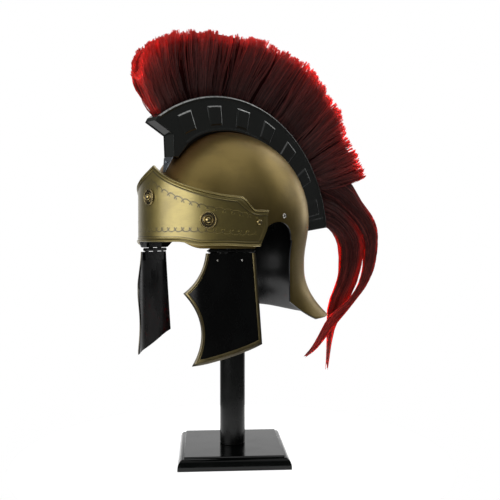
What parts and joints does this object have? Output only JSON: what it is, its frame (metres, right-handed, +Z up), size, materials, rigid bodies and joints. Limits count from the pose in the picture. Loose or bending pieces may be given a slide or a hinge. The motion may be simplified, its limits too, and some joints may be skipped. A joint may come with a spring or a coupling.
{
  "type": "roman centurion helmet on a stand",
  "caption": "Brass roman centurion helmet with a red horsehair crest, an embossed brow band and hinged cheek guards, on a square black display stand.",
  "frame": {"origin": "centre of the base plate's underside, on the pole's axis", "axes": "+Z up; the face looks along -Y; the wearer's left side is +X"},
  "size_m": [0.2114, 0.4739, 0.5877],
  "materials": {
    "antique_brass": "satin antique brass outside, black inside",
    "rosette_brass": "satin, worn bright on the high points",
    "gilt_trim": "satin gilt",
    "gloss_black": "gloss black moulding",
    "black_enamel": "gloss black paint on sheet metal",
    "blackened_steel": "black satin",
    "silver_rivet": "bright",
    "grey_tab": "dark satin",
    "black_lacquer": "high gloss black lacquer",
    "red_hair": "dyed hair"
  },
  "bodies": {
    "helmet": {"base_plate": "black_lacquer", "pole": "black_lacquer", "stand_head": "black_lacquer", "skull": "antique_brass", "brow_band": "antique_brass", "rosette_front": "rosette_brass", "rosette_left": "rosette_brass", "rosette_right": "rosette_brass", "band_rivet_left": "rosette_brass", "band_rivet_right": "rosette_brass", "skull_rivet_left": "silver_rivet", "skull_rivet_right": "silver_rivet", "crest_holder": "gloss_black", "crest_tab": "grey_tab", "crest_tab_rivet": "grey_tab", "plume_brush": "red_hair", "plume_tail_outer": "red_hair", "plume_tail_inner": "red_hair", "hinge_fixed_left": "blackened_steel", "hinge_fixed_right": "blackened_steel", "hinge_pin_left": "blackened_steel", "hinge_pin_right": "blackened_steel"},
    "cheek_guard_left": {"cheek_plate_left": "black_enamel", "cheek_trim_left": "gilt_trim", "hinge_leaf_left": "blackened_steel", "cheek_rivet_front_left": "silver_rivet", "cheek_rivet_rear_left": "silver_rivet"},
    "cheek_guard_right": {"cheek_plate_right": "black_enamel", "cheek_trim_right": "gilt_trim", "hinge_leaf_right": "blackened_steel", "cheek_rivet_front_right": "silver_rivet", "cheek_rivet_rear_right": "silver_rivet"}
  },
  "joints": [
    {"name": "cheek_hinge_left", "type": "hinge", "parent": "helmet", "child": "cheek_guard_left", "pos_m": [0.08494, -0.07246, 0.288], "axis": [-0.4337, -0.9011, 0], "range_deg": [-12, 90]},
    {"name": "cheek_hinge_right", "type": "hinge", "parent": "helmet", "child": "cheek_guard_right", "pos_m": [-0.08494, -0.07246, 0.288], "axis": [-0.4337, 0.9011, 0], "range_deg": [-12, 90]}
  ]
}
